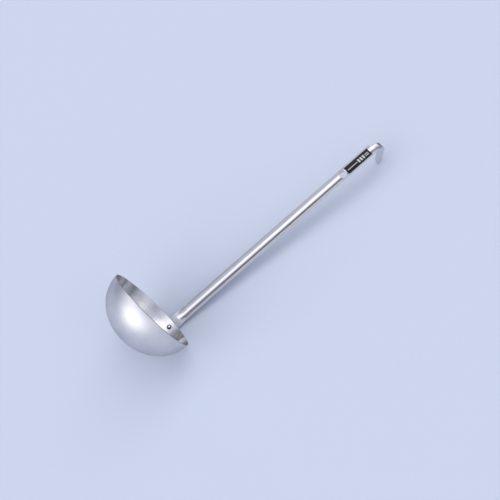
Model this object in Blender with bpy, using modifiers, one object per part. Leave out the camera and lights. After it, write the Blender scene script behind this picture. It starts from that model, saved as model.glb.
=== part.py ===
"""Stainless steel ladle: a pressed bowl with a grooved strip handle riveted to its outside.

The ladle is drawn upright in its bowl's frame: the bowl's axis is +Z, its rim lies in the plane
z = 0, and the handle stands on the +X side with its groove facing the axis. The empty ladle_pose
then lays it on its back, groove up, with the hook's tip and the handle's foot on the ground.
"""

import math

import bmesh
import bpy
from mathutils import Matrix, Vector

MM = 0.001

# Bowl: half an ellipsoid that holds about 250 ml to the brim
BOWL_RADIUS = 53.0 * MM
BOWL_DEPTH = 45.4 * MM
BOWL_SHEET = 1.0 * MM
RIM_ROUNDING = 0.3 * MM
BOWL_TURNS = 64
BOWL_RINGS = 15

# Handle: one strip, bent four times; the strip's front is the side that faces the bowl's axis
STRIP_SHEET = 1.2 * MM
SEAT_GAP = 0.3 * MM
FOOT_DROP = 30.0 * MM
NECK_RISE = 16.0 * MM
SHANK_LENGTH = 283.5 * MM
SHANK_LEAN = math.radians(8.4)
SHANK_BEND_RADIUS = 60.0 * MM
TONGUE_LENGTH = 16.2 * MM
TONGUE_LEAN = math.radians(28.6)
TONGUE_BEND_RADIUS = 10.0 * MM
HOOK_LENGTH = 30.8 * MM
HOOK_TURN = math.radians(88.5)
HOOK_BEND_RADIUS = 6.2 * MM

# Widths of the strip's front face
FOOT_WIDTH = 15.3 * MM
SHANK_WIDTH_LOW = 13.9 * MM
SHANK_WIDTH_HIGH = 13.4 * MM
TONGUE_WIDTH = 9.8 * MM
HOOK_WIDTH = 9.2 * MM
CORNER_RADIUS = 2.2 * MM
BLUNT_END_SHARE = 0.12

# Groove pressed into the shank, with a round run-out above the rim
GROOVE_RADIUS = 11.5 * MM
GROOVE_START = 6.5 * MM
GROOVE_RUN = 10.0 * MM
GROOVE_EDGE_SOFTNESS = 0.06 * MM
SHOULDER_RUN = 15.0 * MM

# Height of the channel's square end, the hanging hole and the label above the neck's bend
CHANNEL_END = 279.5 * MM
HOLE_HEIGHT = 236.5 * MM
HOLE_LENGTH = 9.4 * MM
HOLE_WIDTH = 8.2 * MM
HOLE_CUT_LENGTH = 20.0 * MM
LABEL_LOW = 241.8 * MM
LABEL_HIGH = 276.8 * MM
LABEL_WIDTH = 9.8 * MM
LABEL_SHEET = 0.3 * MM
LABEL_GAP = 0.12 * MM

# Rivets: a domed head inside the bowl, a tail set flush in the handle's foot
RIVET_DEPTHS = {"rivet_upper": 7.0 * MM, "rivet_lower": 20.0 * MM}
HEAD_RADIUS = 2.75 * MM
HEAD_HEIGHT = 1.5 * MM
SHANK_RADIUS = 1.6 * MM
TAIL_RADIUS = 2.65 * MM
TAIL_RECESS = 0.2 * MM
RIVET_CLEARANCE = 0.25 * MM
COUNTERSINK_DEPTH = 0.8 * MM
RIVET_HOLE_REACH = 2.0 * MM
RIVET_TURNS = 28

# Mesh steps
ACROSS_STEPS = 12
SHANK_STEP = 9.0 * MM
FINE_STEP = 1.0 * MM
TURN_STEP = math.radians(9.0)
DOME_STEPS = 7
HOLE_TURNS = 40
MERGE_DISTANCE = 0.01 * MM

# Colours and roughness
STEEL = (0.63, 0.63, 0.66, 1.0)
LABEL_BLACK = (0.012, 0.012, 0.014, 1.0)
BOWL_ROUGHNESS = 0.34
HANDLE_ROUGHNESS = 0.25
RIVET_ROUGHNESS = 0.18
LABEL_ROUGHNESS = 0.3


def clear_scene():
    for found in list(bpy.data.objects):
        bpy.data.objects.remove(found, do_unlink=True)


def new_collection(name):
    made = bpy.data.collections.new(name)
    bpy.context.scene.collection.children.link(made)
    return made


def new_material(name, colour, roughness, metallic):
    made = bpy.data.materials.new(name)
    made.use_nodes = True
    shader = made.node_tree.nodes["Principled BSDF"]
    shader.inputs["Base Color"].default_value = colour
    shader.inputs["Roughness"].default_value = roughness
    shader.inputs["Metallic"].default_value = metallic
    return made


def mesh_object(name, points, faces, collection):
    mesh = bpy.data.meshes.new(name)
    mesh.from_pydata(points, [], faces)
    mesh.validate()
    made = bpy.data.objects.new(name, mesh)
    collection.objects.link(made)
    return made


def turned_object(name, profile, turns, collection):
    """A profile of (radius, height) pairs, from the axis down its outer side, turned about Z."""
    points = [(radius, 0.0, height) for radius, height in profile]
    edges = [(i, i + 1) for i in range(len(points) - 1)]
    mesh = bpy.data.meshes.new(name)
    mesh.from_pydata(points, edges, [])
    made = bpy.data.objects.new(name, mesh)
    collection.objects.link(made)
    screw = made.modifiers.new("turn", "SCREW")
    screw.steps = turns
    screw.render_steps = turns
    screw.use_merge_vertices = True
    screw.merge_threshold = MERGE_DISTANCE
    return made


def finish(made, material, parent):
    made.data.materials.append(material)
    made.data.shade_smooth()
    made.parent = parent


def as_cutter(made):
    made.hide_render = True
    made.display_type = "WIRE"


def cut(made, cutter):
    boolean = made.modifiers.new("cut_" + cutter.name, "BOOLEAN")
    boolean.operation = "DIFFERENCE"
    boolean.solver = "EXACT"
    boolean.object = cutter


def smoothstep(low, high, value):
    t = min(max((value - low) / (high - low), 0.0), 1.0)
    return t * t * (3.0 - 2.0 * t)


def mix(low, high, share):
    return low + (high - low) * share


# Bowl


def ellipse_point(radius, depth, angle):
    """A point (x, z) of the bowl's wall, angle 0 at the rim and a right angle at the pole."""
    return radius * math.cos(angle), -depth * math.sin(angle)


def bowl_profile():
    inner_radius = BOWL_RADIUS - BOWL_SHEET
    inner_depth = BOWL_DEPTH - BOWL_SHEET
    angles = [0.5 * math.pi * i / BOWL_RINGS for i in range(1, BOWL_RINGS + 1)]
    inner = [ellipse_point(inner_radius, inner_depth, angle) for angle in reversed(angles)]
    inner.append((inner_radius, -RIM_ROUNDING))
    rim = [
        (inner_radius + RIM_ROUNDING, 0.0),
        (BOWL_RADIUS - RIM_ROUNDING, 0.0),
        (BOWL_RADIUS, -RIM_ROUNDING),
    ]
    outer = [ellipse_point(BOWL_RADIUS, BOWL_DEPTH, angle) for angle in angles]
    inner[0] = (0.0, inner[0][1])
    outer[-1] = (0.0, outer[-1][1])
    return inner + rim + outer


def wall_frame(depth):
    """The bowl's outer wall on the handle's side at a depth below the rim: point and outward normal."""
    angle = math.asin(depth / BOWL_DEPTH)
    x, z = ellipse_point(BOWL_RADIUS, BOWL_DEPTH, angle)
    normal = Vector((x / BOWL_RADIUS**2, 0.0, z / BOWL_DEPTH**2)).normalized()
    return Vector((x, 0.0, z)), normal


# Handle: the middle line of the strip's front, as stations (distance, point, lean from upright)


def foot_stations():
    """Up the bowl's wall from the foot's lower end to the rim."""
    steps = math.ceil(FOOT_DROP / (2.0 * FINE_STEP))
    stations = []
    distance = 0.0
    for i in range(steps + 1):
        point, normal = wall_frame(FOOT_DROP * (1.0 - i / steps))
        point = point + normal * SEAT_GAP
        lean = math.atan2(-normal.z, normal.x)
        if stations:
            distance += (point - stations[-1][1]).length
        stations.append((distance, point, lean))
    return stations


def leg(stations, length, step):
    """Straight on from the last station."""
    start, point, lean = stations[-1]
    ahead = Vector((math.sin(lean), 0.0, math.cos(lean)))
    steps = max(1, math.ceil(length / step))
    for i in range(1, steps + 1):
        run = length * i / steps
        stations.append((start + run, point + ahead * run, lean))


def bend(stations, turn, radius):
    """A round bend towards the back."""
    start, point, lean = stations[-1]
    centre = point + Vector((math.cos(lean), 0.0, -math.sin(lean))) * radius
    steps = math.ceil(turn / TURN_STEP)
    for i in range(1, steps + 1):
        now = lean + turn * i / steps
        out = Vector((math.cos(now), 0.0, -math.sin(now)))
        stations.append((start + radius * (now - lean), centre - out * radius, now))


def handle_line():
    """Stations along the strip, and the distances of the rim and of the neck's bend."""
    stations = foot_stations()
    rim = stations[-1][0]
    neck_tangent = SHANK_BEND_RADIUS * math.tan(SHANK_LEAN / 2)
    tongue_tangent = TONGUE_BEND_RADIUS * math.tan(TONGUE_LEAN / 2)
    hook_tangent = HOOK_BEND_RADIUS * math.tan(HOOK_TURN / 2)
    channel_rest = SHANK_LENGTH - CHANNEL_END - tongue_tangent
    leg(stations, NECK_RISE - neck_tangent, FINE_STEP)
    bend(stations, SHANK_LEAN, SHANK_BEND_RADIUS)
    corner = stations[-1][0] - neck_tangent
    leg(stations, 2.0 * GROOVE_RUN - neck_tangent, 2.0 * FINE_STEP)
    leg(stations, CHANNEL_END - 2.0 * GROOVE_RUN, SHANK_STEP)
    leg(stations, channel_rest, FINE_STEP / 2)
    bend(stations, TONGUE_LEAN, TONGUE_BEND_RADIUS)
    leg(stations, TONGUE_LENGTH - tongue_tangent - hook_tangent, 2.0 * FINE_STEP)
    bend(stations, HOOK_TURN, HOOK_BEND_RADIUS)
    leg(stations, HOOK_LENGTH - hook_tangent - HOOK_WIDTH / 2, 3.0 * FINE_STEP)
    leg(stations, HOOK_WIDTH / 2, FINE_STEP / 2)
    return stations, rim, corner


STATIONS, RIM_AT, CORNER_AT = handle_line()
STRIP_END = STATIONS[-1][0]
GROOVE_AT = RIM_AT + GROOVE_START
CHANNEL_END_AT = CORNER_AT + CHANNEL_END
HOOK_AT = STRIP_END - HOOK_LENGTH


def round_end(half_width, from_end):
    """Half width near a half-round end of the strip."""
    if from_end >= half_width:
        return half_width
    inside = max(half_width - from_end, 0.0)
    return max(math.sqrt(half_width**2 - inside**2), BLUNT_END_SHARE * half_width)


def front_half_width(distance):
    """Half width of the strip's front face."""
    along = (distance - GROOVE_AT) / (CHANNEL_END_AT - GROOVE_AT)
    shank = mix(SHANK_WIDTH_LOW, SHANK_WIDTH_HIGH, min(max(along, 0.0), 1.0))
    low = mix(FOOT_WIDTH, shank, smoothstep(GROOVE_AT, GROOVE_AT + SHOULDER_RUN, distance))
    past = distance - CHANNEL_END_AT
    if past <= 0.0:
        return round_end(low / 2, distance)
    tongue = mix(TONGUE_WIDTH, HOOK_WIDTH, smoothstep(CHANNEL_END_AT, HOOK_AT, distance)) / 2
    if past < CORNER_RADIUS:
        drop = CORNER_RADIUS - math.sqrt(CORNER_RADIUS**2 - past**2)
        return max(low / 2 - drop, tongue)
    return round_end(tongue, STRIP_END - distance)


def arc_sag(y, radius):
    return radius - math.sqrt(radius**2 - y**2)


def front_depth(distance, y):
    """How far the front face lies behind the strip's line: the pressed groove and the foot's wrap."""
    wrap = arc_sag(y, BOWL_RADIUS) * (1.0 - smoothstep(RIM_AT, GROOVE_AT + GROOVE_RUN, distance))
    along = (distance - GROOVE_AT) / (CHANNEL_END_AT - GROOVE_AT)
    width = mix(SHANK_WIDTH_LOW, SHANK_WIDTH_HIGH, min(max(along, 0.0), 1.0))
    run = min(max((distance - GROOVE_AT) / GROOVE_RUN, 0.0), 1.0)
    floor = arc_sag(width / 2, GROOVE_RADIUS) * (1.0 - (1.0 - run) ** 2)
    flattened = 1.0 - smoothstep(CHANNEL_END_AT, HOOK_AT, distance)
    groove = floor - arc_sag(y, GROOVE_RADIUS) * flattened
    soft = GROOVE_EDGE_SOFTNESS
    groove = 0.5 * (groove + math.sqrt(groove**2 + soft**2)) if run > 0.0 else 0.0
    return groove - wrap


def station_at(distance):
    """Point and lean of the strip's line at any distance along it."""
    for before, after in zip(STATIONS, STATIONS[1:]):
        if distance <= after[0]:
            share = (distance - before[0]) / (after[0] - before[0])
            return before[1].lerp(after[1], share), mix(before[2], after[2], share)
    return STATIONS[-1][1:]


def strip_point(distance, y, lift=0.0):
    """A point of the front face, or lifted off it towards the front."""
    point, lean = station_at(distance)
    back = Vector((math.cos(lean), 0.0, -math.sin(lean)))
    return point + back * (front_depth(distance, y) - lift) + Vector((0.0, y, 0.0))


def strip_sheet(distances, half_width, lift):
    """An open sheet along the strip with its faces turned to the front."""
    points = []
    for distance in distances:
        half = half_width(distance)
        for j in range(ACROSS_STEPS + 1):
            y = half * (2.0 * j / ACROSS_STEPS - 1.0)
            points.append(strip_point(distance, y, lift))
    row = ACROSS_STEPS + 1
    faces = []
    for i in range(len(distances) - 1):
        for j in range(ACROSS_STEPS):
            first = i * row + j
            faces.append((first, first + row, first + row + 1, first + 1))
    return points, faces


def solidify(made, thickness, offset):
    modifier = made.modifiers.new("sheet", "SOLIDIFY")
    modifier.thickness = thickness
    modifier.offset = offset
    modifier.use_even_offset = True


def make_bowl(collection):
    return turned_object("bowl", bowl_profile(), BOWL_TURNS, collection)


def make_handle(collection):
    distances = [station[0] for station in STATIONS]
    points, faces = strip_sheet(distances, front_half_width, 0.0)
    made = mesh_object("handle", points, faces, collection)
    solidify(made, STRIP_SHEET, -1.0)
    return made


def make_label(collection):
    low = CORNER_AT + LABEL_LOW
    high = CORNER_AT + LABEL_HIGH
    inside = [station[0] for station in STATIONS if low < station[0] < high]
    distances = [low] + inside + [high]
    points, faces = strip_sheet(distances, lambda distance: LABEL_WIDTH / 2, LABEL_GAP)
    made = mesh_object("label", points, faces, collection)
    solidify(made, LABEL_SHEET, 1.0)
    return made


# Rivets and holes; heights along a rivet count from the bowl's inner face towards the outside

FOOT_FRONT = BOWL_SHEET + SEAT_GAP
FOOT_BACK = FOOT_FRONT + STRIP_SHEET
SINK_START = FOOT_BACK - COUNTERSINK_DEPTH


def rivet_profile():
    head_base = -RIVET_CLEARANCE
    dome = []
    for i in range(DOME_STEPS + 1):
        angle = 0.5 * math.pi * i / DOME_STEPS
        dome.append((HEAD_RADIUS * math.cos(angle), head_base - HEAD_HEIGHT * math.sin(angle)))
    dome[-1] = (0.0, dome[-1][1])
    tail_end = FOOT_BACK - TAIL_RECESS
    return [
        (0.0, tail_end),
        (TAIL_RADIUS, tail_end),
        (SHANK_RADIUS, SINK_START),
        (SHANK_RADIUS, head_base),
    ] + dome


def hole_profile():
    """The rivet's hole through bowl and foot, with the countersink at the back."""
    hole_radius = SHANK_RADIUS + RIVET_CLEARANCE
    slope = (TAIL_RADIUS - SHANK_RADIUS) / (COUNTERSINK_DEPTH - TAIL_RECESS)
    wide = hole_radius + slope * (COUNTERSINK_DEPTH + RIVET_HOLE_REACH)
    return [
        (0.0, FOOT_BACK + RIVET_HOLE_REACH),
        (wide, FOOT_BACK + RIVET_HOLE_REACH),
        (hole_radius, SINK_START),
        (hole_radius, -RIVET_HOLE_REACH),
        (0.0, -RIVET_HOLE_REACH),
    ]


def rivet_matrix(depth):
    """The rivet's axis is square to the bowl's wall."""
    point, normal = wall_frame(depth)
    turn = Vector((0.0, 0.0, 1.0)).rotation_difference(normal)
    return Matrix.Translation(point - normal * BOWL_SHEET) @ turn.to_matrix().to_4x4()


def make_rivets(parts, cutters, bowl, handle):
    rivets = []
    for name, depth in RIVET_DEPTHS.items():
        rivet = turned_object(name, rivet_profile(), RIVET_TURNS, parts)
        hole = turned_object("hole_" + name, hole_profile(), RIVET_TURNS, cutters)
        for made in (rivet, hole):
            made.matrix_local = rivet_matrix(depth)
        cut(bowl, hole)
        cut(handle, hole)
        as_cutter(hole)
        rivets.append((rivet, hole))
    return rivets


def make_hanging_hole(collection, handle):
    mesh = bpy.data.meshes.new("hanging_hole")
    shape = bmesh.new()
    bmesh.ops.create_cone(
        shape,
        cap_ends=True,
        segments=HOLE_TURNS,
        radius1=HOLE_WIDTH / 2,
        radius2=HOLE_WIDTH / 2,
        depth=HOLE_CUT_LENGTH,
    )
    bmesh.ops.scale(shape, vec=(HOLE_LENGTH / HOLE_WIDTH, 1.0, 1.0), verts=shape.verts)
    shape.to_mesh(mesh)
    shape.free()
    made = bpy.data.objects.new("hanging_hole", mesh)
    collection.objects.link(made)
    point, lean = station_at(CORNER_AT + HOLE_HEIGHT)
    made.location = point
    made.rotation_euler = (0.0, lean - 0.5 * math.pi, 0.0)
    cut(handle, made)
    as_cutter(made)
    return made


# The lying pose


def resting_tilt():
    """The lean from upright of the line that touches the foot's back and the hook's tip."""
    backs = []
    for distance, point, lean in STATIONS:
        if distance <= RIM_AT:
            out = Vector((math.cos(lean), 0.0, -math.sin(lean)))
            backs.append(point + out * STRIP_SHEET)
    tip = strip_point(STRIP_END, 0.0)
    return min(math.atan2(tip.x - back.x, tip.z - back.z) for back in backs)


def lay_down(pose, parts):
    """Turn the ladle on its back and put the middle of its underside at the origin."""
    pose.rotation_euler = (0.0, 0.5 * math.pi - resting_tilt(), 0.0)
    bpy.context.view_layer.update()
    graph = bpy.context.evaluated_depsgraph_get()
    corners = []
    for made in parts:
        shown = made.evaluated_get(graph)
        corners += [shown.matrix_world @ vertex.co for vertex in shown.data.vertices]
    lowest = [min(corner[axis] for corner in corners) for axis in range(3)]
    highest = [max(corner[axis] for corner in corners) for axis in range(3)]
    middle_x = 0.5 * (lowest[0] + highest[0])
    middle_y = 0.5 * (lowest[1] + highest[1])
    pose.location = (-middle_x, -middle_y, -lowest[2])


def main():
    clear_scene()
    parts = new_collection("stainless_steel_ladle")
    cutters = new_collection("cutters")
    pose = bpy.data.objects.new("ladle_pose", None)
    parts.objects.link(pose)

    satin = new_material("satin_steel", STEEL, BOWL_ROUGHNESS, 1.0)
    pressed = new_material("pressed_steel", STEEL, HANDLE_ROUGHNESS, 1.0)
    polished = new_material("rivet_steel", STEEL, RIVET_ROUGHNESS, 1.0)
    black = new_material("label_black", LABEL_BLACK, LABEL_ROUGHNESS, 0.0)

    bowl = make_bowl(parts)
    handle = make_handle(parts)
    label = make_label(parts)
    hole = make_hanging_hole(cutters, handle)
    rivets = make_rivets(parts, cutters, bowl, handle)

    finish(bowl, satin, pose)
    finish(handle, pressed, pose)
    finish(label, black, pose)
    hole.parent = pose
    for rivet, rivet_hole in rivets:
        finish(rivet, polished, pose)
        rivet_hole.parent = pose
    lay_down(pose, [bowl, handle, label] + [rivet for rivet, rivet_hole in rivets])


main()
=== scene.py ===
"""Looks of the stainless steel ladle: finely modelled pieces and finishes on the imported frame.

Each piece is drawn upright in the bowl's frame, as in the part's source: the bowl's axis is +Z, its
rim lies in the plane z = 0, and the handle stands on the +X side with its groove facing the axis.
lay_down then turns the pieces on their back, to where the frame has them.
"""

import math

import bpy
from mathutils import Matrix, Vector


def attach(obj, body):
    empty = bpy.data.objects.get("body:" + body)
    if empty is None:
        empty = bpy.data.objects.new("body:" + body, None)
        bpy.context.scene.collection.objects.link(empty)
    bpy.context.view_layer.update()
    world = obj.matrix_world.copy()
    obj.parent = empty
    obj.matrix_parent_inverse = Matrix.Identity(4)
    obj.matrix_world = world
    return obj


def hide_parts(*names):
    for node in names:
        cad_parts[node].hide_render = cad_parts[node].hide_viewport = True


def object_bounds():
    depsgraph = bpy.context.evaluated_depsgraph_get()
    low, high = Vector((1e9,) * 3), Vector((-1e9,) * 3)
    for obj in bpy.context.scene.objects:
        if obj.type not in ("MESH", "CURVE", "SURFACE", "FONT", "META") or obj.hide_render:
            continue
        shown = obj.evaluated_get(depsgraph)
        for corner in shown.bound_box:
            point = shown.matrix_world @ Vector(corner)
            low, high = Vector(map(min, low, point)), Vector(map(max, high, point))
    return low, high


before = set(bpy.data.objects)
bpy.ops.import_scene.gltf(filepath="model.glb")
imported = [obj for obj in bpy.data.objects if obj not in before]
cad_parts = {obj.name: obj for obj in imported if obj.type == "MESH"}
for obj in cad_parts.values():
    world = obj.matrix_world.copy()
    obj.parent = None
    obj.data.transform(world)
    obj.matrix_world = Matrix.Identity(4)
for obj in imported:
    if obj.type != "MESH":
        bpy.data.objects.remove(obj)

CAD_LOW, CAD_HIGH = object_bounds()

MM = 0.001
RIGHT_ANGLE = 0.5 * math.pi
FULL_TURN = 2.0 * math.pi

# Bowl: half an ellipsoid in sheet steel
BOWL_RADIUS = 53.0 * MM
BOWL_DEPTH = 45.4 * MM
BOWL_SHEET = 1.0 * MM
RIM_ROUNDING = 0.22 * MM
EDGE_BAND = 0.6 * MM
EDGE_THINNING = 0.5 * MM
THINNING_REACH = 7.0 * MM

# Handle: one strip, bent four times; the strip's front is the side that faces the bowl's axis
STRIP_SHEET = 1.2 * MM
STRIP_EDGE = 0.35 * MM
SEAT_GAP = 0.3 * MM
FOOT_DROP = 30.0 * MM
NECK_RISE = 16.0 * MM
SHANK_LENGTH = 283.5 * MM
SHANK_LEAN = math.radians(8.4)
SHANK_BEND_RADIUS = 60.0 * MM
TONGUE_LENGTH = 16.2 * MM
TONGUE_LEAN = math.radians(28.6)
TONGUE_BEND_RADIUS = 10.0 * MM
HOOK_LENGTH = 30.8 * MM
HOOK_TURN = math.radians(88.5)
HOOK_BEND_RADIUS = 6.2 * MM

# Widths of the strip's front face; its round ends stay blunt by a share of their half width
FOOT_WIDTH = 15.3 * MM
SHANK_WIDTH_LOW = 13.9 * MM
SHANK_WIDTH_HIGH = 13.4 * MM
TONGUE_WIDTH = 9.8 * MM
HOOK_WIDTH = 9.2 * MM
CORNER_RADIUS = 2.2 * MM
BLUNT_END_SHARE = 0.12

# Groove pressed into the shank, with a round run-out above the rim, where the strip narrows
GROOVE_RADIUS = 11.5 * MM
GROOVE_START = 6.5 * MM
GROOVE_RUN = 10.0 * MM
GROOVE_EDGE_SOFTNESS = 0.06 * MM
SHOULDER_RUN = 15.0 * MM

# Height of the channel's square end, the hanging hole and the label above the neck's bend
CHANNEL_END = 279.5 * MM
HOLE_HEIGHT = 236.5 * MM
HOLE_LENGTH = 9.4 * MM
HOLE_WIDTH = 8.2 * MM
HOLE_CUT_LENGTH = 20.0 * MM
LABEL_LOW = 241.8 * MM
LABEL_HIGH = 276.8 * MM
LABEL_WIDTH = 9.8 * MM
LABEL_SHEET = 0.2 * MM
LABEL_GAP = 0.14 * MM
LABEL_CORNER = 0.5 * MM
LABEL_EDGE = 0.06 * MM

# A face is on the hole's wall within this share of the hole's width, if its normal leans back this little
HOLE_WALL_SHARE = 0.52
HOLE_WALL_LEAN = 0.1

# Rivets: a domed head inside the bowl, a tail set flush in the handle's foot
RIVET_DEPTHS = {"rivet_upper": 7.0 * MM, "rivet_lower": 20.0 * MM}
HEAD_RADIUS = 2.75 * MM
HEAD_HEIGHT = 1.5 * MM
SHANK_RADIUS = 1.6 * MM
TAIL_RADIUS = 2.65 * MM
TAIL_RECESS = 0.2 * MM
RIVET_CLEARANCE = 0.25 * MM
COUNTERSINK_DEPTH = 0.8 * MM
RIVET_HOLE_REACH = 2.0 * MM

# Mesh steps
BOWL_TURNS = 160
BOWL_RINGS = 48
RIM_STEPS = 4
ACROSS_STEPS = 44
EDGE_STEPS = 4
EDGE_SHARE_LIMIT = 0.45
SLOPE_STEP = 0.02 * MM
FINE_STEP = 0.5 * MM
SHANK_STEP = 3.0 * MM
TURN_STEP = math.radians(2.5)
TIP_STEPS = 24
HOLE_TURNS = 72
LABEL_STEPS = 30
LABEL_CORNER_STEPS = 6
RIVET_TURNS = 64
DOME_STEPS = 16
SHARP_ANGLE = math.radians(35.0)

# Camera, found from the rim's ellipse and the handle's line in the photograph
CAMERA_PLACE = (-0.2257, -0.5924, 1.0470)
CAMERA_AIM = (-0.0109, -0.0004, 0.0255)
CAMERA_ROLL = math.radians(-21.23)
SENSOR_WIDTH = 36.0
FOCAL_LENGTH = 78.20

# Steel: sheet, sheet seen at a grazing angle, trimmed edges, and painted shade on the sides of the rivets'
# heads
STEEL_LIGHT = (0.70, 0.70, 0.725, 1.0)
STEEL_DARK = (0.63, 0.63, 0.66, 1.0)
STEEL_GRAZED = (0.68, 0.68, 0.71, 1.0)
EDGE_LIGHT = (0.36, 0.35, 0.37, 1.0)
EDGE_DARK = (0.24, 0.23, 0.25, 1.0)
RIVET_PAINTED_SHADE = (0.07, 0.07, 0.073, 1.0)

# A rivet's head is bright up to one share of its radius and carries painted shade from another
RIVET_BRIGHT_END = 0.42
RIVET_SHADE_START = 0.7

# Painted reflection on the bowl's inside: its brightness by azimuth from the handle, in degrees
PAINTED_REFLECTION_BANDS = (
    (-150.0, 0.95),
    (-60.0, 0.1),
    (-43.0, 0.6),
    (-35.0, 1.12),
    (-29.5, 1.12),
    (-27.5, 0.16),
    (-20.0, 0.62),
    (-13.0, 1.3),
    (0.0, 1.1),
    (58.0, 0.95),
    (67.0, 0.34),
    (80.0, 0.95),
    (86.0, 0.45),
    (93.0, 1.0),
    (104.0, 0.6),
    (136.0, 1.32),
    (168.0, 0.95),
)
# Darkest colour of the painted reflection bands, and how far noise sways the bands round the bowl
REFLECTION_DARK_STEEL = (0.08, 0.06, 0.03, 1.0)
REFLECTION_BAND_SWAY = 0.004
BANDS_END_LOW = -36.0 * MM
BANDS_END_HIGH = -18.0 * MM

# The bands' colour ramp runs once round the bowl, with the handle in its middle
RAMP_MIDDLE = 0.5
DEGREES_ROUND = 360.0

# Finish of the strip: length of the groove's fade-out and height of its streaks beside the satin's grain
GROOVE_FADE = 1.5 * MM
STREAK_HEIGHT = 0.5

# Painted dark reflection on the hook's bend: its middle from HOOK_AT, half lengths along and ends across
# the strip
BEND_PAINTED_REFLECTION = (0.038, 0.03, 0.025, 1.0)
BEND_SHIFT = -1.2 * MM
BEND_CORE = 1.6 * MM
BEND_REACH = 5.2 * MM
BEND_NEAR = -5.0 * MM
BEND_FAR = 1.0 * MM

LABEL_BLACK = (0.010, 0.010, 0.011, 1.0)
LABEL_SOOT = (0.018, 0.018, 0.019, 1.0)
LABEL_SILVER = (0.62, 0.62, 0.64, 1.0)
LABEL_GLOSS = 0.25

# Printed bars as low and high ends along the label, from 0 to 1, and across it, from -1 to 1
PRINTED_BARS = (
    (0.06, 0.46, -0.08, 0.10),
    (0.50, 0.56, -0.5, 0.5),
    (0.60, 0.66, -0.5, 0.5),
    (0.70, 0.76, -0.5, 0.5),
    (0.80, 0.94, -0.36, -0.16),
    (0.80, 0.94, 0.12, 0.32),
)

# Range in which most values of a noise texture lie
NOISE_LOW = 0.3
NOISE_HIGH = 0.7

# Sockets of a colour mix node
MIX_SHARE = 0
MIX_FIRST = 6
MIX_SECOND = 7
MIX_RESULT = 2

FLOOR_COLOUR = (0.60, 0.655, 0.76, 1.0)
FLOOR_ROUGHNESS = 0.9
FLOOR_HALF = 4.0

# Surround: a pale room with soft patches of light and shade. Each patch is an azimuth, an elevation,
# the angles of its core and its reach, all in degrees, and a radiance.
SURROUND_COLOUR = (0.65, 0.67, 0.78, 1.0)
PATCHES = (
    # Dim side and pale side of the room
    (120.0, 0.0, 10.0, 55.0, (0.36, 0.385, 0.52, 1.0)),
    (232.0, 20.0, 10.0, 50.0, (0.90, 0.92, 1.02, 1.0)),
    # Key light
    (184.0, 31.0, 4.0, 37.0, (2.35, 2.35, 2.4, 1.0)),
    # Overhead light, which reaches from behind the neck to the hook's end
    (130.0, 58.0, 4.0, 17.0, (1.8, 1.8, 1.85, 1.0)),
    (80.0, 72.0, 0.0, 18.5, (1.6, 1.6, 1.65, 1.0)),
    (35.0, 68.0, 8.0, 22.0, (1.8, 1.8, 1.85, 1.0)),
    (28.0, 46.0, 8.0, 20.0, (1.8, 1.8, 1.85, 1.0)),
    (20.0, 27.0, 4.0, 11.0, (1.8, 1.8, 1.85, 1.0)),
    # Small light in front
    (290.0, 36.0, 2.0, 15.0, (1.25, 1.25, 1.3, 1.0)),
    # Horizon and dark gaps between the lights
    (100.0, 6.0, 4.0, 15.0, (0.15, 0.15, 0.15, 1.0)),
    (82.5, 14.0, 5.0, 10.5, (0.98, 0.94, 0.96, 1.0)),
    (87.0, 34.0, 2.0, 16.5, (0.08, 0.08, 0.08, 1.0)),
    (58.0, 17.0, 4.0, 14.0, (0.16, 0.155, 0.16, 1.0)),
    (36.0, 9.0, 4.0, 11.0, (0.16, 0.155, 0.16, 1.0)),
    (266.0, 0.0, 4.0, 18.0, (0.40, 0.40, 0.48, 1.0)),
    # Dim place in front, above the small light
    (247.0, 58.0, 6.0, 17.0, (0.36, 0.37, 0.43, 1.0)),
)


def clamp(share):
    return min(max(share, 0.0), 1.0)


def smoothstep(low, high, value):
    t = clamp((value - low) / (high - low))
    return t * t * (3.0 - 2.0 * t)


def mix(low, high, share):
    return low + (high - low) * share


def arc_sag(y, radius):
    """How far an arc has dropped from its top at a distance y from the middle."""
    return radius - math.sqrt(radius**2 - y**2)


# Mesh helpers


def link_mesh(name, points, faces):
    mesh = bpy.data.meshes.new(name)
    mesh.from_pydata(points, [], faces)
    made = bpy.data.objects.new(name, mesh)
    bpy.context.scene.collection.objects.link(made)
    return made


def turned_mesh(name, profile, turns):
    """A profile of (radius, height) pairs turned about Z, with its two ends on the axis."""
    points = [(0.0, 0.0, profile[0][1])]
    for radius, height in profile[1:-1]:
        for i in range(turns):
            angle = FULL_TURN * i / turns
            points.append((radius * math.cos(angle), radius * math.sin(angle), height))
    points.append((0.0, 0.0, profile[-1][1]))
    last = len(points) - 1
    rings = len(profile) - 2
    faces = []
    for i in range(turns):
        after = (i + 1) % turns
        faces.append((0, 1 + after, 1 + i))
        for ring in range(rings - 1):
            here = 1 + ring * turns
            there = here + turns
            faces.append((here + i, here + after, there + after, there + i))
        final = 1 + (rings - 1) * turns
        faces.append((last, final + i, final + after))
    return link_mesh(name, points, faces)


def lofted_mesh(name, rings, alongs, arounds):
    """Closed rings of points joined one after the other and capped, with lengths as texture places."""
    size = len(rings[0])
    points = [point for ring in rings for point in ring]
    faces = [tuple(range(size))]
    places = [(alongs[0], arounds[0][j]) for j in range(size)]
    for i in range(len(rings) - 1):
        here = i * size
        there = here + size
        for j in range(size):
            after = (j + 1) % size
            faces.append((here + j, there + j, there + after, here + after))
            places.append((alongs[i], arounds[i][j]))
            places.append((alongs[i + 1], arounds[i + 1][j]))
            places.append((alongs[i + 1], arounds[i + 1][j + 1]))
            places.append((alongs[i], arounds[i][j + 1]))
    top = (len(rings) - 1) * size
    faces.append(tuple(top + j for j in reversed(range(size))))
    places += [(alongs[-1], arounds[-1][j]) for j in reversed(range(size))]
    made = link_mesh(name, points, faces)
    layer = made.data.uv_layers.new(name="strip")
    for corner, place in zip(layer.data, places):
        corner.uv = place
    return made


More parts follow.
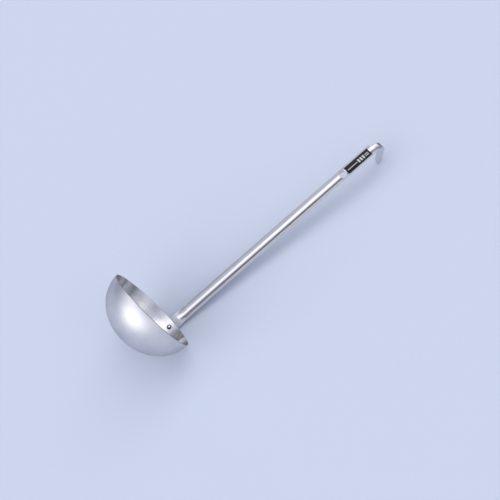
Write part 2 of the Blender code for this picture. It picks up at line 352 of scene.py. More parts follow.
def cut(made, cutter):
    """Take the cutter's solid out of a piece for good."""
    boolean = made.modifiers.new("cut", "BOOLEAN")
    boolean.operation = "DIFFERENCE"
    boolean.solver = "EXACT"
    boolean.object = cutter
    graph = bpy.context.evaluated_depsgraph_get()
    mesh = bpy.data.meshes.new_from_object(made.evaluated_get(graph))
    before = made.data
    made.modifiers.clear()
    made.data = mesh
    bpy.data.meshes.remove(before)


def shade(made):
    made.data.shade_smooth()
    made.data.set_sharp_from_angle(angle=SHARP_ANGLE)


# Bowl


def ellipse_point(radius, depth, angle):
    """A point (x, z) of the bowl's wall, angle 0 at the rim and a right angle at the pole."""
    return radius * math.cos(angle), -depth * math.sin(angle)


def rim_arc(centre_radius, start, end):
    """A quarter round of the rim's edge."""
    arc = []
    for i in range(RIM_STEPS + 1):
        angle = mix(start, end, i / RIM_STEPS)
        radius = centre_radius + RIM_ROUNDING * math.cos(angle)
        height = RIM_ROUNDING * (math.sin(angle) - 1.0)
        arc.append((radius, height))
    return arc


def inner_point(angle):
    """A point of the inner wall, where the sheet thins towards the rim."""
    radius, height = ellipse_point(BOWL_RADIUS - BOWL_SHEET, BOWL_DEPTH - BOWL_SHEET, angle)
    near_rim = max(1.0 + height / THINNING_REACH, 0.0)
    return radius + EDGE_THINNING * near_rim**2, height


def bowl_profile():
    """From the pole inside, over the rim, to the pole outside."""
    edge_radius = BOWL_RADIUS - BOWL_SHEET + EDGE_THINNING
    band = math.asin(EDGE_BAND / BOWL_DEPTH)
    angles = [band] + [RIGHT_ANGLE * i / BOWL_RINGS for i in range(1, BOWL_RINGS + 1)]
    inner = [inner_point(angle) for angle in reversed(angles)]
    rim = rim_arc(edge_radius + RIM_ROUNDING, math.pi, RIGHT_ANGLE)
    rim += rim_arc(BOWL_RADIUS - RIM_ROUNDING, RIGHT_ANGLE, 0.0)
    outer = [ellipse_point(BOWL_RADIUS, BOWL_DEPTH, angle) for angle in angles]
    return inner + rim + outer


def wall_frame(depth):
    """The bowl's outer wall on the handle's side at a depth below the rim: point and outward normal."""
    angle = math.asin(depth / BOWL_DEPTH)
    x, z = ellipse_point(BOWL_RADIUS, BOWL_DEPTH, angle)
    normal = Vector((x / BOWL_RADIUS**2, 0.0, z / BOWL_DEPTH**2)).normalized()
    return Vector((x, 0.0, z)), normal


def make_bowl():
    return turned_mesh("bowl_shell", bowl_profile(), BOWL_TURNS)


def sort_bowl_faces(bowl):
    """Faces of the inside take the bowl's second finish, and those of the trimmed edge its third."""
    middle_radius = BOWL_RADIUS - 0.5 * BOWL_SHEET
    middle_depth = BOWL_DEPTH - 0.5 * BOWL_SHEET
    for face in bowl.data.polygons:
        x, y, z = face.center
        level = math.hypot(math.hypot(x, y) / middle_radius, z / middle_depth)
        inside = level < 1.0
        if z > -RIM_ROUNDING or (not inside and z > -EDGE_BAND):
            face.material_index = 2
        elif inside:
            face.material_index = 1


# Handle: the middle line of the strip's front, as stations (distance, point, lean from upright)


def ahead(lean):
    """Direction along the strip, towards the hook."""
    return Vector((math.sin(lean), 0.0, math.cos(lean)))


def backward(lean):
    """Direction out of the strip's back."""
    return Vector((math.cos(lean), 0.0, -math.sin(lean)))


def foot_stations():
    """Up the bowl's wall from the foot's lower end to the rim, in steps that grow from the round end."""
    steps = math.ceil(FOOT_DROP / FINE_STEP)
    stations = []
    distance = 0.0
    for i in range(steps + 1):
        rise = (i / steps) ** 2
        point, normal = wall_frame(FOOT_DROP * (1.0 - rise))
        point = point + normal * SEAT_GAP
        lean = math.atan2(-normal.z, normal.x)
        if stations:
            distance += (point - stations[-1][1]).length
        stations.append((distance, point, lean))
    return stations


def straight(stations, runs):
    """Straight on from the last station, with a station at the end of each run."""
    start, point, lean = stations[-1]
    for run in runs:
        stations.append((start + run, point + ahead(lean) * run, lean))


def leg(stations, length, step):
    """Straight on in even steps."""
    steps = max(1, math.ceil(length / step))
    straight(stations, [length * i / steps for i in range(1, steps + 1)])


def tip(stations, length):
    """Straight on to the strip's round end, in steps that shrink towards it."""
    turns = [RIGHT_ANGLE * i / TIP_STEPS for i in range(1, TIP_STEPS + 1)]
    straight(stations, [length * math.sin(turn) for turn in turns])


def bend(stations, turn, radius):
    """A round bend towards the back."""
    start, point, lean = stations[-1]
    centre = point + backward(lean) * radius
    steps = math.ceil(turn / TURN_STEP)
    for i in range(1, steps + 1):
        now = lean + turn * i / steps
        stations.append((start + radius * (now - lean), centre - backward(now) * radius, now))


def handle_line():
    """Stations along the strip, and the distances of the rim and of the neck's bend."""
    stations = foot_stations()
    rim = stations[-1][0]
    neck_tangent = SHANK_BEND_RADIUS * math.tan(SHANK_LEAN / 2)
    tongue_tangent = TONGUE_BEND_RADIUS * math.tan(TONGUE_LEAN / 2)
    hook_tangent = HOOK_BEND_RADIUS * math.tan(HOOK_TURN / 2)
    channel_rest = SHANK_LENGTH - CHANNEL_END - tongue_tangent
    leg(stations, NECK_RISE - neck_tangent, FINE_STEP)
    bend(stations, SHANK_LEAN, SHANK_BEND_RADIUS)
    corner = stations[-1][0] - neck_tangent
    leg(stations, 2.0 * GROOVE_RUN - neck_tangent, FINE_STEP)
    leg(stations, CHANNEL_END - 2.0 * GROOVE_RUN, SHANK_STEP)
    leg(stations, channel_rest, FINE_STEP / 2)
    bend(stations, TONGUE_LEAN, TONGUE_BEND_RADIUS)
    leg(stations, TONGUE_LENGTH - tongue_tangent - hook_tangent, FINE_STEP)
    bend(stations, HOOK_TURN, HOOK_BEND_RADIUS)
    leg(stations, HOOK_LENGTH - hook_tangent - HOOK_WIDTH / 2, 2.0 * FINE_STEP)
    tip(stations, HOOK_WIDTH / 2)
    return stations, rim, corner


STATIONS, RIM_AT, CORNER_AT = handle_line()
STRIP_END = STATIONS[-1][0]
GROOVE_AT = RIM_AT + GROOVE_START
CHANNEL_END_AT = CORNER_AT + CHANNEL_END
HOOK_AT = STRIP_END - HOOK_LENGTH


def station_at(distance):
    """Point and lean of the strip's line at any distance along it."""
    for before, after in zip(STATIONS, STATIONS[1:]):
        if distance <= after[0]:
            share = (distance - before[0]) / (after[0] - before[0])
            return before[1].lerp(after[1], share), mix(before[2], after[2], share)
    return STATIONS[-1][1:]


def round_end(half_width, from_end):
    """Half width near a half-round end of the strip."""
    if from_end >= half_width:
        return half_width
    inside = max(half_width - from_end, 0.0)
    return max(math.sqrt(half_width**2 - inside**2), BLUNT_END_SHARE * half_width)


def shank_width(distance):
    """Width of the grooved shank's front, which narrows towards the hook."""
    share = (distance - GROOVE_AT) / (CHANNEL_END_AT - GROOVE_AT)
    return mix(SHANK_WIDTH_LOW, SHANK_WIDTH_HIGH, clamp(share))


def front_half_width(distance):
    """Half width of the strip's front face."""
    narrowed = smoothstep(GROOVE_AT, GROOVE_AT + SHOULDER_RUN, distance)
    low = mix(FOOT_WIDTH, shank_width(distance), narrowed) / 2
    past = distance - CHANNEL_END_AT
    if past <= 0.0:
        return round_end(low, distance)
    tongue = mix(TONGUE_WIDTH, HOOK_WIDTH, smoothstep(CHANNEL_END_AT, HOOK_AT, distance)) / 2
    if past < CORNER_RADIUS:
        return max(low - arc_sag(past, CORNER_RADIUS), tongue)
    return round_end(tongue, STRIP_END - distance)


def front_depth(distance, y):
    """How far the front face lies behind the strip's line: the pressed groove and the foot's wrap."""
    wrap = arc_sag(y, BOWL_RADIUS) * (1.0 - smoothstep(RIM_AT, GROOVE_AT + GROOVE_RUN, distance))
    run = clamp((distance - GROOVE_AT) / GROOVE_RUN)
    if run == 0.0:
        return -wrap
    floor = arc_sag(shank_width(distance) / 2, GROOVE_RADIUS) * (1.0 - (1.0 - run) ** 2)
    curved = 1.0 - smoothstep(CHANNEL_END_AT, HOOK_AT, distance)
    groove = floor - arc_sag(y, GROOVE_RADIUS) * curved
    return 0.5 * (groove + math.hypot(groove, GROOVE_EDGE_SOFTNESS)) - wrap


def face_at(distance, y, lift):
    """Depth of a sheet's front at y, and the direction (depth, y) into the sheet."""
    rise = front_depth(distance, y + SLOPE_STEP) - front_depth(distance, y - SLOPE_STEP)
    slope = rise / (2.0 * SLOPE_STEP)
    length = math.hypot(1.0, slope)
    return front_depth(distance, y) - lift, (1.0 / length, -slope / length)


def edge_arc(depth, y, inward, side, sheet, radius):
    """A sheet's rounded edge, from its front to its back."""
    outward = (-inward[1] * side, inward[0] * side)
    arc = []
    for middle, start in ((radius, 0.0), (sheet - radius, RIGHT_ANGLE)):
        for k in range(EDGE_STEPS + 1):
            angle = start + RIGHT_ANGLE * k / EDGE_STEPS
            into = middle - radius * math.cos(angle)
            out = radius * math.sin(angle)
            arc_depth = depth + inward[0] * into + outward[0] * out
            arc_y = y + inward[1] * into + outward[1] * out
            arc.append((arc_depth, arc_y))
    return arc[1:-1]


def sheet_section(distance, half, sheet, edge, lift):
    """Closed outline (depth behind the strip's line, y) of a sheet that follows the front face."""
    radius = min(edge, EDGE_SHARE_LIMIT * half, 0.5 * sheet)
    flat = half - radius
    front = []
    back = []
    for j in range(ACROSS_STEPS + 1):
        y = flat * (2.0 * j / ACROSS_STEPS - 1.0)
        depth, inward = face_at(distance, y, lift)
        front.append((depth, y))
        back.append((depth + inward[0] * sheet, y + inward[1] * sheet))
    edges = []
    for side in (1.0, -1.0):
        y = side * flat
        depth, inward = face_at(distance, y, lift)
        edges.append(edge_arc(depth, y, inward, side, sheet, radius))
    right, left = edges
    return front + right + back[::-1] + left[::-1]


def lengths_around(section):
    """Lengths along a closed outline, counted from the middle of its front."""
    lengths = [0.0]
    for here, there in zip(section, section[1:] + section[:1]):
        lengths.append(lengths[-1] + math.dist(here, there))
    middle = 0.5 * lengths[ACROSS_STEPS]
    return [length - middle for length in lengths]


def sheet_along_strip(name, distances, half_width, sheet, edge, lift):
    """A closed sheet piece lofted along the strip."""
    rings = []
    arounds = []
    for distance in distances:
        point, lean = station_at(distance)
        back = backward(lean)
        section = sheet_section(distance, half_width(distance), sheet, edge, lift)
        rings.append([point + back * depth + Vector((0.0, y, 0.0)) for depth, y in section])
        arounds.append(lengths_around(section))
    return lofted_mesh(name, rings, distances, arounds)


def hanging_hole():
    """An oval plug through the strip."""
    points = []
    for end in (-0.5 * HOLE_CUT_LENGTH, 0.5 * HOLE_CUT_LENGTH):
        for i in range(HOLE_TURNS):
            angle = FULL_TURN * i / HOLE_TURNS
            across = 0.5 * HOLE_WIDTH * math.sin(angle)
            along = 0.5 * HOLE_LENGTH * math.cos(angle)
            points.append((end, across, along))
    faces = [tuple(range(HOLE_TURNS)), tuple(reversed(range(HOLE_TURNS, 2 * HOLE_TURNS)))]
    for i in range(HOLE_TURNS):
        after = (i + 1) % HOLE_TURNS
        faces.append((i, HOLE_TURNS + i, HOLE_TURNS + after, after))
    made = link_mesh("hanging_hole", points, faces)
    point, lean = station_at(CORNER_AT + HOLE_HEIGHT)
    made.matrix_world = Matrix.Translation(point) @ Matrix.Rotation(lean, 4, "Y")
    return made


def make_handle():
    distances = [station[0] for station in STATIONS]
    made = sheet_along_strip(
        "handle_strip", distances, front_half_width, STRIP_SHEET, STRIP_EDGE, lift=0.0
    )
    hole = hanging_hole()
    cut(made, hole)
    bpy.data.objects.remove(hole, do_unlink=True)
    return made


def sort_handle_faces(handle):
    """Faces of the hanging hole's wall take the handle's second finish."""
    centre, lean = station_at(CORNER_AT + HOLE_HEIGHT)
    back = backward(lean)
    for face in handle.data.polygons:
        near_hole = (face.center - centre).length < HOLE_LENGTH
        in_width = abs(face.center.y) < HOLE_WALL_SHARE * HOLE_WIDTH
        square = abs(face.normal.dot(back)) < HOLE_WALL_LEAN
        if near_hole and in_width and square:
            face.material_index = 1


# Label


def label_distances(low, high):
    """Distances along the strip from end to end of the label, close together at its round corners."""
    turns = [RIGHT_ANGLE * i / LABEL_CORNER_STEPS for i in range(LABEL_CORNER_STEPS + 1)]
    rises = [LABEL_CORNER * (1.0 - math.cos(turn)) for turn in turns]
    shares = [i / LABEL_STEPS for i in range(1, LABEL_STEPS)]
    middle = [mix(low + LABEL_CORNER, high - LABEL_CORNER, share) for share in shares]
    return [low + rise for rise in rises] + middle + [high - rise for rise in reversed(rises)]


def make_label():
    low = CORNER_AT + LABEL_LOW
    high = CORNER_AT + LABEL_HIGH

    def half_width(distance):
        from_end = max(min(distance - low, high - distance), 0.0)
        into_corner = max(LABEL_CORNER - from_end, 0.0)
        return 0.5 * LABEL_WIDTH - arc_sag(into_corner, LABEL_CORNER)

    return sheet_along_strip(
        "label_film_sheet",
        label_distances(low, high),
        half_width,
        LABEL_SHEET,
        LABEL_EDGE,
        lift=LABEL_GAP + LABEL_SHEET,
    )


# Rivets and their holes; heights along a rivet count from the bowl's inner face towards the outside

FOOT_FRONT = BOWL_SHEET + SEAT_GAP
FOOT_BACK = FOOT_FRONT + STRIP_SHEET
SINK_START = FOOT_BACK - COUNTERSINK_DEPTH


def rivet_profile():
    """From the flush tail to the top of the domed head."""
    head_base = -RIVET_CLEARANCE
    dome = []
    for i in range(DOME_STEPS + 1):
        angle = RIGHT_ANGLE * i / DOME_STEPS
        dome.append((HEAD_RADIUS * math.cos(angle), head_base - HEAD_HEIGHT * math.sin(angle)))
    tail_end = FOOT_BACK - TAIL_RECESS
    return [
        (0.0, tail_end),
        (TAIL_RADIUS, tail_end),
        (SHANK_RADIUS, SINK_START),
        (SHANK_RADIUS, head_base),
    ] + dome


def hole_profile():
    """The rivet's hole through bowl and foot, with the countersink at the back."""
    hole_radius = SHANK_RADIUS + RIVET_CLEARANCE
    slope = (TAIL_RADIUS - SHANK_RADIUS) / (COUNTERSINK_DEPTH - TAIL_RECESS)
    wide = hole_radius + slope * (COUNTERSINK_DEPTH + RIVET_HOLE_REACH)
    return [
        (0.0, FOOT_BACK + RIVET_HOLE_REACH),
        (wide, FOOT_BACK + RIVET_HOLE_REACH),
        (hole_radius, SINK_START),
        (hole_radius, -RIVET_HOLE_REACH),
        (0.0, -RIVET_HOLE_REACH),
    ]


def rivet_matrix(depth):
    """The rivet's axis is square to the bowl's wall."""
    point, normal = wall_frame(depth)
    turn = Vector((0.0, 0.0, 1.0)).rotation_difference(normal)
    return Matrix.Translation(point - normal * BOWL_SHEET) @ turn.to_matrix().to_4x4()


def keep_from_axis(rivet):
    """Remember each point's distance from the rivet's axis, 1 at the edge of the head."""
    shares = rivet.data.attributes.new("from_axis", "FLOAT", "POINT")
    for share, vertex in zip(shares.data, rivet.data.vertices):
        share.value = math.hypot(vertex.co.x, vertex.co.y) / HEAD_RADIUS


def make_rivets(bowl, handle):
    """The rivets by name, with their holes cut in the bowl and the handle."""
    rivets = {}
    for name, depth in RIVET_DEPTHS.items():
        hole = turned_mesh("hole", hole_profile(), RIVET_TURNS)
        hole.matrix_world = rivet_matrix(depth)
        bpy.context.view_layer.update()
        cut(bowl, hole)
        cut(handle, hole)
        bpy.data.objects.remove(hole, do_unlink=True)
        rivet = turned_mesh(name + "_pin", rivet_profile(), RIVET_TURNS)
        keep_from_axis(rivet)
        rivet.matrix_world = rivet_matrix(depth)
        rivets[name] = rivet
    return rivets


# The lying pose


def resting_tilt():
    """The lean from upright of the line that touches the foot's back and the hook's tip."""
    end, end_lean = station_at(STRIP_END)
    touch = end + backward(end_lean) * front_depth(STRIP_END, 0.0)
    tilts = []
    for distance, point, lean in STATIONS:
        if distance <= RIM_AT:
            back = point + backward(lean) * STRIP_SHEET
            tilts.append(math.atan2(touch.x - back.x, touch.z - back.z))
    return min(tilts)


def keep_upright_places(piece):
    """Remember each point's place in the upright ladle, for finishes that turn about the bowl's axis."""
    places = piece.data.attributes.new("upright", "FLOAT_VECTOR", "POINT")
    for place, vertex in zip(places.data, piece.data.vertices):
        place.vector = piece.matrix_world @ vertex.co


def turned_box(pieces, turn):
    """Low and high corner of the pieces' box after a turn."""
    points = []
    for piece in pieces:
        pose = turn @ piece.matrix_world
        points += [pose @ vertex.co for vertex in piece.data.vertices]
    low = Vector([min(point[axis] for point in points) for axis in range(3)])
    high = Vector([max(point[axis] for point in points) for axis in range(3)])
    return low, high


def lay_down(pieces):
    """Turn the pieces on their back and fit them in the frame's box."""
    turn = Matrix.Rotation(RIGHT_ANGLE - resting_tilt(), 4, "Y")
    bpy.context.view_layer.update()
    low, high = turned_box(pieces, turn)
    fit = min((CAD_HIGH[axis] - CAD_LOW[axis]) / (high[axis] - low[axis]) for axis in range(3))
    pose = Matrix.Translation(CAD_LOW - fit * low) @ Matrix.Scale(fit, 4) @ turn
    for piece in pieces:
        keep_upright_places(piece)
        piece.data.transform(pose @ piece.matrix_world)
        piece.matrix_world = Matrix.Identity(4)
    bpy.context.view_layer.update()


# Node helpers


def new_material(name, colour, roughness, metallic):
    made = bpy.data.materials.new(name)
    made.use_nodes = True
    inputs = shader_of(made).inputs
    inputs["Base Color"].default_value = colour
    inputs["Roughness"].default_value = roughness
    inputs["Metallic"].default_value = metallic
    return made


def shader_of(material):
    return material.node_tree.nodes["Principled BSDF"]


def dress(material, colour, roughness, normal):
    """Link a finish's outputs to its shader."""
    links = material.node_tree.links
    inputs = shader_of(material).inputs
    links.new(colour, inputs["Base Color"])
    links.new(roughness, inputs["Roughness"])
    links.new(normal, inputs["Normal"])


def add_node(tree, kind, values=None, **settings):
    """A node with its settings, and with numbers or other nodes' outputs in its sockets."""
    made = tree.nodes.new(kind)
    for name, setting in settings.items():
        setattr(made, name, setting)
    for socket, value in (values or {}).items():
        if isinstance(value, bpy.types.NodeSocket):
            tree.links.new(value, made.inputs[socket])
        else:
            made.inputs[socket].default_value = value
    return made


def math_node(tree, operation, first, second=0.0):
    return add_node(tree, "ShaderNodeMath", {0: first, 1: second}, operation=operation).outputs[0]


def vector_node(tree, operation, values):
    return add_node(tree, "ShaderNodeVectorMath", values, operation=operation).outputs


def noise(tree, vector, scale=1.0, detail=2.0):
    values = {"Vector": vector, "Scale": scale, "Detail": detail}
    return add_node(tree, "ShaderNodeTexNoise", values).outputs["Fac"]


def remap(tree, value, low, high):
    """Spread a noise value over a range."""
    values = {"Value": value, "From Min": NOISE_LOW, "From Max": NOISE_HIGH, "To Min": low, "To Max": high}
    return add_node(tree, "ShaderNodeMapRange", values).outputs["Result"]


def fade(tree, value, start, end, interpolation="LINEAR"):
    """A share that goes from 0 at the start of a range to 1 at its end."""
    values = {"Value": value, "From Min": start, "From Max": end}
    made = add_node(tree, "ShaderNodeMapRange", values, interpolation_type=interpolation)
    return made.outputs["Result"]


def between(tree, share, low, high):
    """A number that goes from one output to another with a share."""
    part = math_node(tree, "MULTIPLY", math_node(tree, "SUBTRACT", high, low), share)
    return math_node(tree, "ADD", low, part)


def blend(tree, share, first, second):
    """A colour that goes from one colour or output to another with a share."""
    sockets = {MIX_SHARE: share, MIX_FIRST: first, MIX_SECOND: second}
    return add_node(tree, "ShaderNodeMix", sockets, data_type="RGBA").outputs[MIX_RESULT]


def tint(tree, value, first, second, low=NOISE_LOW, high=NOISE_HIGH):
    """A colour that goes from one shade to another over a range of values."""
    ramp = add_node(tree, "ShaderNodeValToRGB", {"Fac": value})
    start, end = ramp.color_ramp.elements
    start.position = low
    start.color = first
    end.position = high
    end.color = second
    return ramp.outputs["Color"]


def bump(tree, height, distance, strength, under=None):
    """A normal bent by a height, on top of another normal if one is given."""
    values = {"Height": height, "Distance": distance, "Strength": strength}
    if under is not None:
        values["Normal"] = under
    return add_node(tree, "ShaderNodeBump", values).outputs["Normal"]


def upright_place(tree):
    return add_node(tree, "ShaderNodeAttribute", attribute_name="upright").outputs["Vector"]


def ring_place(tree, streaks, fineness):
    """Places in which noise runs round the bowl's axis in fine streaks."""
    place = upright_place(tree)
    flat = vector_node(tree, "MULTIPLY", {0: place, 1: (1.0, 1.0, 0.0)})["Vector"]
    around = vector_node(tree, "NORMALIZE", {0: flat})["Vector"]
    spread = vector_node(tree, "SCALE", {0: around, "Scale": streaks})["Vector"]
    radius = vector_node(tree, "LENGTH", {0: flat})["Value"]
    height = add_node(tree, "ShaderNodeSeparateXYZ", {0: place}).outputs["Z"]
    angle = math_node(tree, "ARCTAN2", height, radius)
    climb = math_node(tree, "MULTIPLY", angle, BOWL_RADIUS * fineness)
    up = add_node(tree, "ShaderNodeCombineXYZ", {"Z": climb}).outputs["Vector"]
    return vector_node(tree, "ADD", {0: spread, 1: up})["Vector"]


def strip_uv(tree):
    return add_node(tree, "ShaderNodeUVMap", uv_map="strip").outputs["UV"]


def strip_place(tree, along, across):
    """Places in which noise runs along the strip in fine streaks."""
    return vector_node(tree, "MULTIPLY", {0: strip_uv(tree), 1: (along, across, 1.0)})["Vector"]


def strip_lengths(tree):
    """Lengths along the strip, and across it from its middle."""
    split = add_node(tree, "ShaderNodeSeparateXYZ", {0: strip_uv(tree)})
    return split.outputs["X"], split.outputs["Y"]


# Finishes


def satin_bowl_finish():
    """Outside of the bowl: an even satin with faint rings."""
    made = new_material("bowl_satin", STEEL_LIGHT, roughness=0.42, metallic=1.0)
    shader_of(made).inputs["Specular Tint"].default_value = STEEL_GRAZED
    tree = made.node_tree
    rings = noise(tree, ring_place(tree, streaks=5.0, fineness=2600.0))
    grain = noise(tree, upright_place(tree), scale=2400.0, detail=3.0)
    clouds = noise(tree, upright_place(tree), scale=55.0)
    both = between(tree, share=0.6, low=rings, high=grain)
    fine = remap(tree, both, low=0.38, high=0.46)
    broad = remap(tree, clouds, low=-0.015, high=0.015)
    dress(
        made,
        tint(tree, clouds, STEEL_DARK, STEEL_LIGHT),
        math_node(tree, "ADD", fine, broad),
        bump(tree, both, distance=0.02 * MM, strength=0.25),
    )
    return made


def painted_reflection_bands(tree):
    """Painted reflections: darker and brighter bands round the inside below the rim."""
    split = add_node(tree, "ShaderNodeSeparateXYZ", {0: upright_place(tree)})
    angle = math_node(tree, "ARCTAN2", split.outputs["Y"], split.outputs["X"])
    turn = math_node(tree, "DIVIDE", angle, FULL_TURN)
    swirls = noise(tree, upright_place(tree), scale=200.0)
    sway = remap(tree, swirls, low=RAMP_MIDDLE - REFLECTION_BAND_SWAY, high=RAMP_MIDDLE + REFLECTION_BAND_SWAY)
    bands = add_node(tree, "ShaderNodeValToRGB", {"Fac": math_node(tree, "ADD", turn, sway)})
    stops = bands.color_ramp.elements
    while len(stops) < len(PAINTED_REFLECTION_BANDS):
        stops.new(RAMP_MIDDLE)
    # Each band's colour is painted reflection, between the darkest steel and the plain steel
    for stop, (azimuth, brightness) in zip(stops, PAINTED_REFLECTION_BANDS):
        stop.position = azimuth / DEGREES_ROUND + RAMP_MIDDLE
        stop.color = [mix(darkest, light, brightness) for darkest, light in zip(REFLECTION_DARK_STEEL, STEEL_LIGHT)]
    near_rim = fade(tree, split.outputs["Z"], BANDS_END_LOW, BANDS_END_HIGH)
    return blend(tree, near_rim, STEEL_LIGHT, bands.outputs["Color"])


def bright_bowl_finish():
    """Inside of the bowl: turned bright, with rings, smears and bands of painted reflection."""
    made = new_material("bowl_bright", STEEL_LIGHT, roughness=0.2, metallic=1.0)
    tree = made.node_tree
    rings = noise(tree, ring_place(tree, streaks=4.0, fineness=1800.0), detail=3.0)
    smears = noise(tree, ring_place(tree, streaks=3.0, fineness=160.0), detail=3.0)
    waves = noise(tree, ring_place(tree, streaks=14.0, fineness=18.0), detail=1.0)
    turned = remap(tree, rings, low=0.23, high=0.30)
    smeared = remap(tree, smears, low=-0.02, high=0.04)
    wavy = bump(tree, waves, distance=0.3 * MM, strength=0.5)
    dress(
        made,
        painted_reflection_bands(tree),
        math_node(tree, "ADD", turned, smeared),
        bump(tree, rings, distance=0.02 * MM, strength=0.2, under=wavy),
    )
    return made


def cut_edge_finish():
    """Trimmed edge of the bowl and wall of the hanging hole: duller and darker than the sheet."""
    made = new_material("cut_edge", EDGE_LIGHT, roughness=0.45, metallic=1.0)
    tree = made.node_tree
    scores = noise(tree, ring_place(tree, streaks=60.0, fineness=900.0), detail=3.0)
    dress(
        made,
        tint(tree, scores, EDGE_DARK, EDGE_LIGHT),
        remap(tree, scores, low=0.38, high=0.52),
        bump(tree, scores, distance=0.02 * MM, strength=0.3),
    )
    return made


def groove_share(tree):
    """1 in the pressed groove and on the tongue, 0 on the flat foot, the neck and the hook."""
    along, across = strip_lengths(tree)
    curve = GROOVE_RUN / (0.5 * SHANK_WIDTH_LOW) ** 2
    run_out = math_node(tree, "MULTIPLY", math_node(tree, "MULTIPLY", across, across), curve)
    past_start = math_node(tree, "SUBTRACT", math_node(tree, "SUBTRACT", along, GROOVE_AT), run_out)
    before_end = math_node(tree, "SUBTRACT", HOOK_AT, along)
    inside = math_node(tree, "MINIMUM", past_start, before_end)
    return fade(tree, inside, 0.0, GROOVE_FADE)


def bend_share(tree):
    """1 on the far half of the hook's bend, on its outer face, where a dark reflection is painted on the
    strip.
    """
    along, across = strip_lengths(tree)
    from_middle = math_node(tree, "SUBTRACT", along, HOOK_AT + BEND_SHIFT)
    away = math_node(tree, "ABSOLUTE", from_middle)
    on_bend = fade(tree, away, BEND_REACH, BEND_CORE, "SMOOTHSTEP")
    far_half = fade(tree, across, BEND_NEAR, BEND_FAR, "SMOOTHSTEP")
    in_front = math_node(tree, "LESS_THAN", across, 0.5 * HOOK_WIDTH + STRIP_SHEET)
    return math_node(tree, "MULTIPLY", in_front, math_node(tree, "MULTIPLY", on_bend, far_half))


def strip_finish():
    """Handle: drawn strip, bright in the groove, satin on the foot, the neck and the hook, with a painted
    dark reflection on the bend.
    """
    made = new_material("handle_drawn", STEEL_LIGHT, roughness=0.24, metallic=1.0)
    tree = made.node_tree
    groove = groove_share(tree)
    streaks = noise(tree, strip_place(tree, along=45.0, across=3600.0), detail=3.0)
    smears = noise(tree, strip_place(tree, along=60.0, across=700.0), detail=3.0)
    grain = noise(tree, upright_place(tree), scale=1300.0, detail=3.0)
    drawn = remap(tree, streaks, low=0.15, high=0.22)
    smeared = remap(tree, smears, low=-0.02, high=0.04)
    bright = math_node(tree, "ADD", drawn, smeared)
    satin = remap(tree, grain, low=0.28, high=0.38)
    height = between(tree, groove, grain, math_node(tree, "MULTIPLY", streaks, STREAK_HEIGHT))
    # Painted dark reflection on the hook's bend, broken up by the grain
    bend_reflection = math_node(tree, "MULTIPLY", bend_share(tree), remap(tree, grain, low=0.75, high=1.0))
    dress(
        made,
        blend(tree, bend_reflection, tint(tree, smears, STEEL_DARK, STEEL_LIGHT), BEND_PAINTED_REFLECTION),
        between(tree, groove, satin, bright),
        bump(tree, height, distance=0.03 * MM, strength=0.25),
    )
    return made


def rivet_finish():
    """Rivets: a polished dome, with painted shade where its side meets the bowl."""
    made = new_material("rivet_polish", STEEL_LIGHT, roughness=0.14, metallic=1.0)
    tree = made.node_tree
    grain = noise(tree, upright_place(tree), scale=1800.0, detail=3.0)
    from_axis = add_node(tree, "ShaderNodeAttribute", attribute_name="from_axis").outputs["Fac"]
    # Painted shade: darker towards the head's edge, where it meets the bowl
    wear_and_shade = math_node(tree, "ADD", from_axis, remap(tree, grain, low=-0.06, high=0.06))
    dress(
        made,
        tint(tree, wear_and_shade, STEEL_LIGHT, RIVET_PAINTED_SHADE, RIVET_BRIGHT_END, RIVET_SHADE_START),
        remap(tree, grain, low=0.12, high=0.24),
        bump(tree, grain, distance=0.02 * MM, strength=0.2),
    )
    return made


def inside_bar(tree, along, across, bar):
    """1 inside a printed bar, given by its low and high ends along and across the label."""
    share = 1.0
    for place, low, high in ((along, bar[0], bar[1]), (across, bar[2], bar[3])):
        above = math_node(tree, "GREATER_THAN", place, low)
        below = math_node(tree, "LESS_THAN", place, high)
        share = math_node(tree, "MULTIPLY", share, math_node(tree, "MULTIPLY", above, below))
    return share


def printed_share(tree):
    """1 on the label's plain printed bars, 0 beside them."""
    from_start, from_middle = strip_lengths(tree)
    up = math_node(tree, "SUBTRACT", from_start, CORNER_AT + LABEL_LOW)
    along = math_node(tree, "DIVIDE", up, LABEL_HIGH - LABEL_LOW)
    across = math_node(tree, "DIVIDE", from_middle, 0.5 * LABEL_WIDTH)
    share = 0.0
    for bar in PRINTED_BARS:
        share = math_node(tree, "MAXIMUM", share, inside_bar(tree, along, across, bar))
    return share


def label_finish():
    """Label: glossy black film with plain silver bars."""
    made = new_material("label_gloss", LABEL_BLACK, roughness=0.25, metallic=0.0)
    shader_of(made).inputs["Specular IOR Level"].default_value = LABEL_GLOSS
    tree = made.node_tree
    grain = noise(tree, upright_place(tree), scale=1200.0, detail=3.0)
    clouds = noise(tree, upright_place(tree), scale=300.0)
    wear_and_shade = remap(tree, clouds, low=0.8, high=1.0)
    silver = math_node(tree, "MULTIPLY", printed_share(tree), wear_and_shade)
    dress(
        made,
        blend(tree, silver, tint(tree, clouds, LABEL_BLACK, LABEL_SOOT), LABEL_SILVER),
        remap(tree, grain, low=0.2, high=0.32),
        bump(tree, grain, distance=0.01 * MM, strength=0.2),
    )
    return made


# Stage


def make_floor():
    corners = ((-1, -1), (1, -1), (1, 1), (-1, 1))
    points = [(FLOOR_HALF * x, FLOOR_HALF * y, 0.0) for x, y in corners]
    floor = link_mesh("floor", points, [(0, 1, 2, 3)])
    floor.location.z = CAD_LOW.z
    floor.data.materials.append(new_material("floor_paint", FLOOR_COLOUR, FLOOR_ROUGHNESS, metallic=0.0))


def direction(azimuth, elevation):
    """Unit vector towards an azimuth, counted from +X to +Y, and an elevation, in degrees."""
    turn = math.radians(azimuth)
    rise = math.radians(elevation)
    level = math.cos(rise)
    return Vector((math.cos(turn) * level, math.sin(turn) * level, math.sin(rise)))


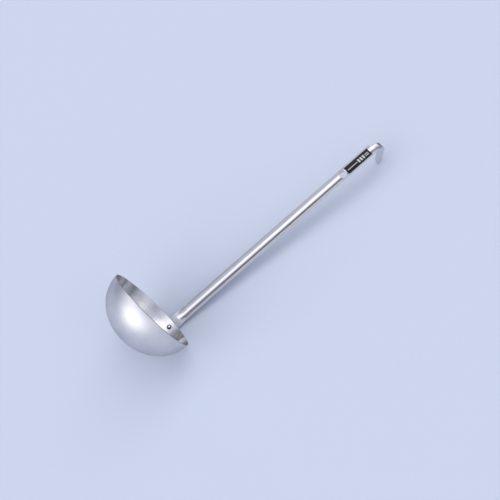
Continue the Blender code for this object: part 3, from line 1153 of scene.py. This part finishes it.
def make_camera():
    lens = bpy.data.cameras.new("camera")
    lens.sensor_width = SENSOR_WIDTH
    lens.lens = FOCAL_LENGTH
    made = bpy.data.objects.new("camera", lens)
    bpy.context.scene.collection.objects.link(made)
    forward = (Vector(CAMERA_AIM) - Vector(CAMERA_PLACE)).normalized()
    level = forward.to_track_quat("-Z", "Y").to_matrix().to_4x4()
    roll = Matrix.Rotation(CAMERA_ROLL, 4, "Z")
    made.matrix_world = Matrix.Translation(CAMERA_PLACE) @ level @ roll
    bpy.context.scene.camera = made


def make_world():
    """The surround: a pale room with soft patches of light and shade."""
    world = bpy.data.worlds.new("studio")
    world.use_nodes = True
    tree = world.node_tree
    towards = add_node(tree, "ShaderNodeTexCoord").outputs["Generated"]
    colour = SURROUND_COLOUR
    for azimuth, elevation, core, reach, radiance in PATCHES:
        middle = direction(azimuth, elevation)
        nearness = vector_node(tree, "DOT_PRODUCT", {0: towards, 1: middle})["Value"]
        outside = math.cos(math.radians(reach))
        inside = math.cos(math.radians(core))
        share = fade(tree, nearness, outside, inside, "SMOOTHSTEP")
        colour = blend(tree, share, colour, radiance)
    tree.links.new(colour, tree.nodes["Background"].inputs["Color"])
    bpy.context.scene.world = world


def main():
    bowl = make_bowl()
    handle = make_handle()
    label = make_label()
    rivets = make_rivets(bowl, handle)
    sort_bowl_faces(bowl)
    sort_handle_faces(handle)
    rivet_steel = rivet_finish()
    edge_steel = cut_edge_finish()
    pieces = [
        (bowl, "bowl", "bowl_steel", [satin_bowl_finish(), bright_bowl_finish(), edge_steel]),
        (handle, "handle", "handle_steel", [strip_finish(), edge_steel]),
        (label, "label", "label_film", [label_finish()]),
    ]
    pieces += [(rivet, name, "rivet_steel", [rivet_steel]) for name, rivet in rivets.items()]
    lay_down([piece[0] for piece in pieces])
    for made, node, slot, materials in pieces:
        shade(made)
        for material in materials:
            made.data.materials.append(material)
        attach(made, "root")
        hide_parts(node)
    make_floor()
    make_camera()
    make_world()
    bpy.context.scene.view_settings.view_transform = "Standard"


main()
